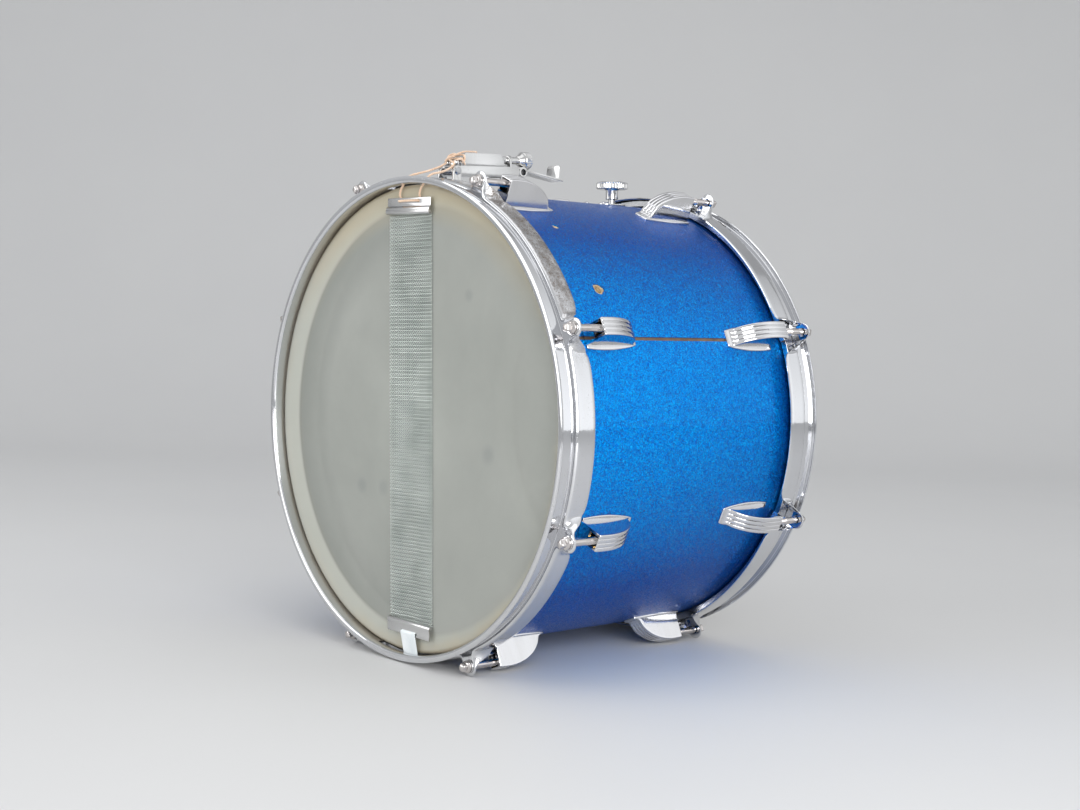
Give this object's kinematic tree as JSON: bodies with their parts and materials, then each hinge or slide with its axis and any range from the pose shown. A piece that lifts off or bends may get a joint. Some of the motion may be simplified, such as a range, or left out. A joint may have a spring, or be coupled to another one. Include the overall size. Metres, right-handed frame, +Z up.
{
  "type": "parade snare drum",
  "caption": "Field-style snare drum with a sparkle-wrapped ply shell, flanged hoops, ribbed lugs, throw-off strainer, coiled snare wires and inside tone control, lying on its side.",
  "frame": {"origin": "on the resting plane, below the middle of the shell, centred left to right and front to back", "axes": "+Y along the drum axis towards the batter head, the snare side at -Y; +Z up through the strainer; +X to the right when looking at the snare head"},
  "size_m": [0.3752, 0.274, 0.4027],
  "materials": {
    "sparkle_wrap": "clear gloss over fine blue metal flake",
    "ply_shell": "raw ply edge, off-white paint inside",
    "chrome_plate": "polished chrome, light pitting and handling marks",
    "zinc_steel": "dull zinc plate",
    "snare_wire": "bright drawn wire",
    "flesh_hoop": "mill finish",
    "snare_film": "hazy translucent film, aged yellow at the collar",
    "batter_film": "sprayed white coating with playing marks",
    "brass_nut": "turned brass",
    "cord": "twisted waxed cord",
    "strap": "woven white tape",
    "felt": "pressed wool felt"
  },
  "bodies": {
    "root": {"shell": "ply_shell", "wrap": "sparkle_wrap", "batter_reinforcement_ring": "ply_shell", "snare_reinforcement_ring": "ply_shell", "batter_head_film": "batter_film", "snare_head_film": "snare_film", "batter_flesh_hoop": "flesh_hoop", "snare_flesh_hoop": "flesh_hoop", "batter_hoop": "chrome_plate", "snare_hoop": "chrome_plate", "batter_lugs": "chrome_plate", "snare_lugs": "chrome_plate", "batter_swivel_nuts": "brass_nut", "snare_swivel_nuts": "brass_nut", "lug_spring_clips": "zinc_steel", "lug_screws": "zinc_steel", "lug_screw_washers": "zinc_steel", "rod_washers": "chrome_plate", "strainer_base_plate": "chrome_plate", "strainer_mount_screws": "zinc_steel", "strainer_hinge_pin": "zinc_steel", "snare_cords": "cord", "snare_wires": "snare_wire", "snare_end_plate_upper": "chrome_plate", "snare_end_plate_lower": "chrome_plate", "snare_strap": "strap", "butt_base_plate": "chrome_plate", "butt_clamp_plate": "chrome_plate", "butt_screws": "zinc_steel", "tone_escutcheon": "chrome_plate", "muffler_bracket": "zinc_steel", "muffler_screws": "zinc_steel", "muffler_hinge_pin": "zinc_steel"},
    "throw_lever": {"throw_lever": "chrome_plate"},
    "cord_clamp": {"clamp_block": "chrome_plate", "cord_clamp_plate": "chrome_plate", "cord_clamp_screws": "zinc_steel"},
    "adjuster": {"adjusting_screw": "zinc_steel", "adjusting_knob": "chrome_plate"},
    "tone_control": {"tone_knob": "chrome_plate", "tone_shaft": "zinc_steel"},
    "muffler_nut": {"muffler_nut": "brass_nut"},
    "muffler_pad_arm": {"muffler_arm": "zinc_steel", "muffler_felt_pad": "felt"},
    "batter_rod_1": {"batter_rod_1": "chrome_plate"},
    "batter_rod_2": {"batter_rod_2": "chrome_plate"},
    "batter_rod_3": {"batter_rod_3": "chrome_plate"},
    "batter_rod_4": {"batter_rod_4": "chrome_plate"},
    "batter_rod_5": {"batter_rod_5": "chrome_plate"},
    "batter_rod_6": {"batter_rod_6": "chrome_plate"},
    "batter_rod_7": {"batter_rod_7": "chrome_plate"},
    "batter_rod_8": {"batter_rod_8": "chrome_plate"},
    "snare_rod_1": {"snare_rod_1": "chrome_plate"},
    "snare_rod_2": {"snare_rod_2": "chrome_plate"},
    "snare_rod_3": {"snare_rod_3": "chrome_plate"},
    "snare_rod_4": {"snare_rod_4": "chrome_plate"},
    "snare_rod_5": {"snare_rod_5": "chrome_plate"},
    "snare_rod_6": {"snare_rod_6": "chrome_plate"},
    "snare_rod_7": {"snare_rod_7": "chrome_plate"},
    "snare_rod_8": {"snare_rod_8": "chrome_plate"}
  },
  "joints": [
    {"name": "batter_rod_1_turn", "type": "hinge", "parent": "root", "child": "batter_rod_1", "pos_m": [0.18006, 0.127, 0.2622], "axis": [0, 1, 0], "continuous": true},
    {"name": "batter_rod_2_turn", "type": "hinge", "parent": "root", "child": "batter_rod_2", "pos_m": [0.07458, 0.127, 0.36768], "axis": [0, 1, 0], "continuous": true},
    {"name": "batter_rod_3_turn", "type": "hinge", "parent": "root", "child": "batter_rod_3", "pos_m": [-0.07458, 0.127, 0.36768], "axis": [0, 1, 0], "continuous": true},
    {"name": "batter_rod_4_turn", "type": "hinge", "parent": "root", "child": "batter_rod_4", "pos_m": [-0.18006, 0.127, 0.2622], "axis": [0, 1, 0], "continuous": true},
    {"name": "batter_rod_5_turn", "type": "hinge", "parent": "root", "child": "batter_rod_5", "pos_m": [-0.18006, 0.127, 0.11303], "axis": [0, 1, 0], "continuous": true},
    {"name": "batter_rod_6_turn", "type": "hinge", "parent": "root", "child": "batter_rod_6", "pos_m": [-0.07458, 0.127, 0.00755], "axis": [0, 1, 0], "continuous": true},
    {"name": "batter_rod_7_turn", "type": "hinge", "parent": "root", "child": "batter_rod_7", "pos_m": [0.07458, 0.127, 0.00755], "axis": [0, 1, 0], "continuous": true},
    {"name": "batter_rod_8_turn", "type": "hinge", "parent": "root", "child": "batter_rod_8", "pos_m": [0.18006, 0.127, 0.11303], "axis": [0, 1, 0], "continuous": true},
    {"name": "snare_rod_1_turn", "type": "hinge", "parent": "root", "child": "snare_rod_1", "pos_m": [0.18006, -0.127, 0.2622], "axis": [0, -1, 0], "continuous": true},
    {"name": "snare_rod_2_turn", "type": "hinge", "parent": "root", "child": "snare_rod_2", "pos_m": [0.07458, -0.127, 0.36768], "axis": [0, -1, 0], "continuous": true},
    {"name": "snare_rod_3_turn", "type": "hinge", "parent": "root", "child": "snare_rod_3", "pos_m": [-0.07458, -0.127, 0.36768], "axis": [0, -1, 0], "continuous": true},
    {"name": "snare_rod_4_turn", "type": "hinge", "parent": "root", "child": "snare_rod_4", "pos_m": [-0.18006, -0.127, 0.2622], "axis": [0, -1, 0], "continuous": true},
    {"name": "snare_rod_5_turn", "type": "hinge", "parent": "root", "child": "snare_rod_5", "pos_m": [-0.18006, -0.127, 0.11303], "axis": [0, -1, 0], "continuous": true},
    {"name": "snare_rod_6_turn", "type": "hinge", "parent": "root", "child": "snare_rod_6", "pos_m": [-0.07458, -0.127, 0.00755], "axis": [0, -1, 0], "continuous": true},
    {"name": "snare_rod_7_turn", "type": "hinge", "parent": "root", "child": "snare_rod_7", "pos_m": [0.07458, -0.127, 0.00755], "axis": [0, -1, 0], "continuous": true},
    {"name": "snare_rod_8_turn", "type": "hinge", "parent": "root", "child": "snare_rod_8", "pos_m": [0.18006, -0.127, 0.11303], "axis": [0, -1, 0], "continuous": true},
    {"name": "throw_off", "type": "hinge", "parent": "root", "child": "throw_lever", "pos_m": [0, -0.093, 0.38112], "axis": [1, 0, 0], "range_deg": [0, 60]},
    {"name": "adjuster_turn", "type": "hinge", "parent": "throw_lever", "child": "adjuster", "pos_m": [0, -0.01869, 0.39532], "axis": [0, -0.9983, -0.0576], "range_deg": [-720, 720]},
    {"name": "clamp_slide", "type": "slide", "parent": "throw_lever", "child": "cord_clamp", "axis": [0, 0.9983, 0.0576], "range_m": [-0.0017, 0.0017]},
    {"name": "tone_turn", "type": "hinge", "parent": "root", "child": "tone_control", "pos_m": [0, 0.0833, 0.38262], "axis": [0, 0, 1], "range_deg": [0, 720]},
    {"name": "muffler_nut_slide", "type": "slide", "parent": "root", "child": "muffler_nut", "axis": [0, 0, 1], "range_m": [-0.00165, 0]},
    {"name": "muffler_arm_swing", "type": "hinge", "parent": "root", "child": "muffler_pad_arm", "pos_m": [0, 0.097, 0.33562], "axis": [1, 0, 0], "range_deg": [0, 7]}
  ],
  "couplings": [
    {"joint": "clamp_slide", "follows": "adjuster_turn", "m_per_rad": 0.00012732},
    {"joint": "muffler_nut_slide", "follows": "tone_turn", "m_per_rad": -0.00012732},
    {"joint": "muffler_arm_swing", "follows": "tone_turn", "ratio": 0.0092937}
  ]
}
